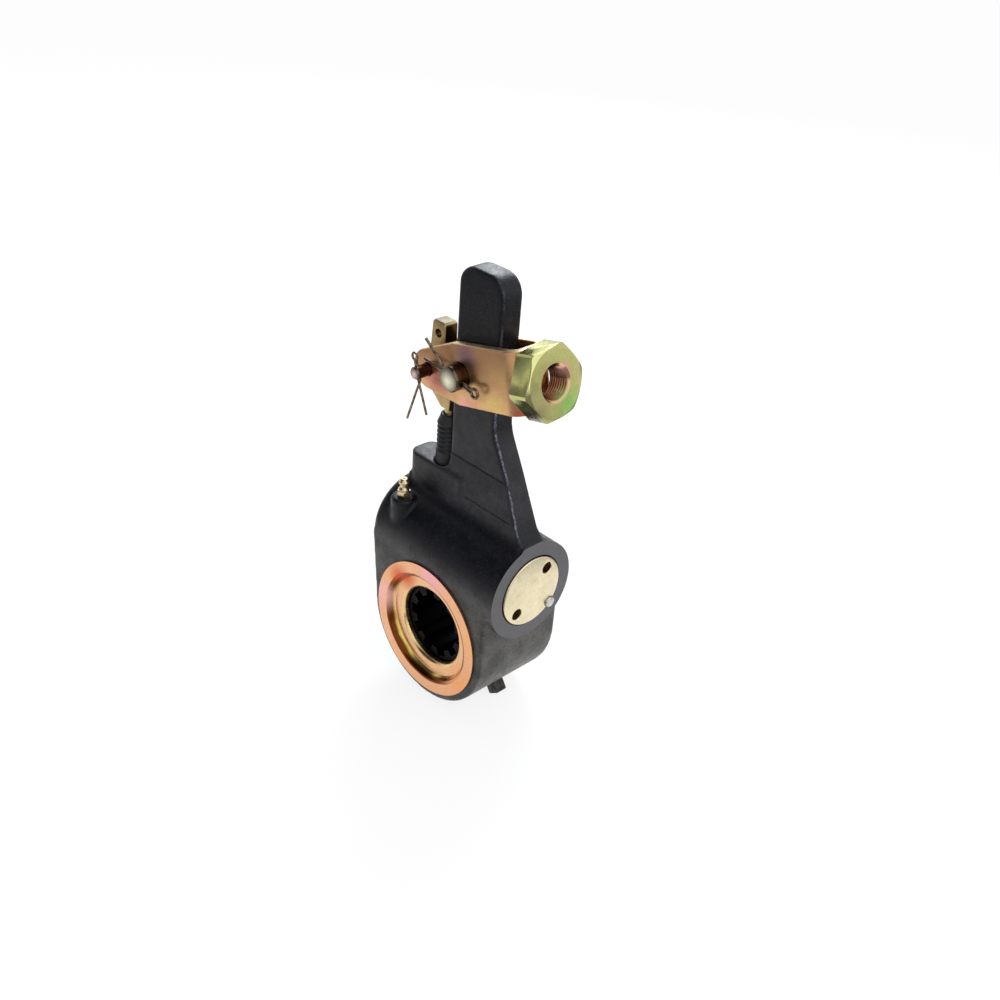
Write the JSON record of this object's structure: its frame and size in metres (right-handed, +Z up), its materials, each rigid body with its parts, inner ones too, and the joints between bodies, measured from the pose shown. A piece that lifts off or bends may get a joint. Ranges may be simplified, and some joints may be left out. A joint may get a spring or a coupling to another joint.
{
  "type": "brake slack adjuster",
  "caption": "Self-adjusting brake slack adjuster: splined worm wheel and worm in a cast arm, with a rack, link, boot, pinned clevis and push rod nut.",
  "frame": {"origin": "centre of the camshaft spline, on the camshaft axis at mid width", "axes": "+Y along the camshaft axis towards the rear cover, +Z up the arm, +X towards the push rod nut"},
  "size_m": [0.1107, 0.055, 0.2321],
  "materials": {
    "black_paint": "satin black paint over a fine casting grain",
    "yellow_zinc": "yellow zinc plate with peach, pink and green bloom",
    "pale_zinc": "pale straw zinc plate",
    "green_zinc": "yellow-green zinc plate",
    "bright_steel": "bright turned steel",
    "dark_steel": "dark oiled steel",
    "bronze": "dull bearing bronze",
    "rubber": "matt black rubber"
  },
  "bodies": {
    "housing": {"housing": "black_paint", "arm_bush": "bronze", "front_bush": "bronze", "rear_bush": "bronze", "front_seal": "rubber", "rear_seal": "rubber", "front_cover": "yellow_zinc", "rear_cover": "yellow_zinc", "worm_bush": "bronze", "hex_seal": "rubber", "thrust_bush": "bronze", "thrust_cage": "bright_steel", "thrust_race_right": "bright_steel", "preload_spring": "dark_steel", "spring_seat": "bright_steel", "worm_cap": "pale_zinc", "cap_o_ring": "rubber", "cap_lock_pin": "bright_steel", "grease_fitting": "pale_zinc", "lube_plug": "black_paint", "boot": "rubber"},
    "wheel": {"worm_wheel": "dark_steel"},
    "worm": {"worm_shaft": "dark_steel", "adjusting_hex": "bright_steel", "thrust_race_left": "bright_steel"},
    "pinion": {"rack_pinion": "bright_steel", "clutch_spring": "bright_steel"},
    "rack": {"rack_plunger": "dark_steel", "plunger_collar": "bright_steel"},
    "clevis": {"clevis": "yellow_zinc", "push_rod_nut": "green_zinc", "clevis_pin": "pale_zinc", "clevis_pin_cotter": "dark_steel", "link_pin": "pale_zinc", "link_pin_cotter": "dark_steel"},
    "link": {"link": "yellow_zinc"}
  },
  "joints": [
    {"name": "camshaft_turn", "type": "hinge", "parent": "housing", "child": "wheel", "pos_m": [0, 0, 0], "axis": [0, 1, 0], "continuous": true},
    {"name": "worm_turn", "type": "hinge", "parent": "housing", "child": "worm", "pos_m": [0, 0, 0.0386], "axis": [1, 0, 0], "continuous": true},
    {"name": "clevis_turn", "type": "hinge", "parent": "housing", "child": "clevis", "pos_m": [0, 0, 0.1397], "axis": [0, 1, 0], "range_deg": [-5, 25]},
    {"name": "link_turn", "type": "hinge", "parent": "clevis", "child": "link", "pos_m": [-0.02251, 0, 0.13409], "axis": [0, 1, 0], "range_deg": [-26, 6]},
    {"name": "rack_slide", "type": "slide", "parent": "housing", "child": "rack", "axis": [0, 0, 1], "range_m": [-0.002, 0.01], "deforming": ["boot"]},
    {"name": "pinion_turn", "type": "hinge", "parent": "housing", "child": "pinion", "pos_m": [-0.0205, 0, 0.0386], "axis": [1, 0, 0], "range_deg": [-17, 83]}
  ],
  "couplings": [
    {"joint": "worm_turn", "follows": "camshaft_turn", "ratio": -26},
    {"joint": "link_turn", "follows": "clevis_turn", "ratio": -1},
    {"joint": "rack_slide", "follows": "clevis_turn", "m_per_rad": 0.0229},
    {"joint": "pinion_turn", "follows": "clevis_turn", "ratio": 3.2714}
  ]
}
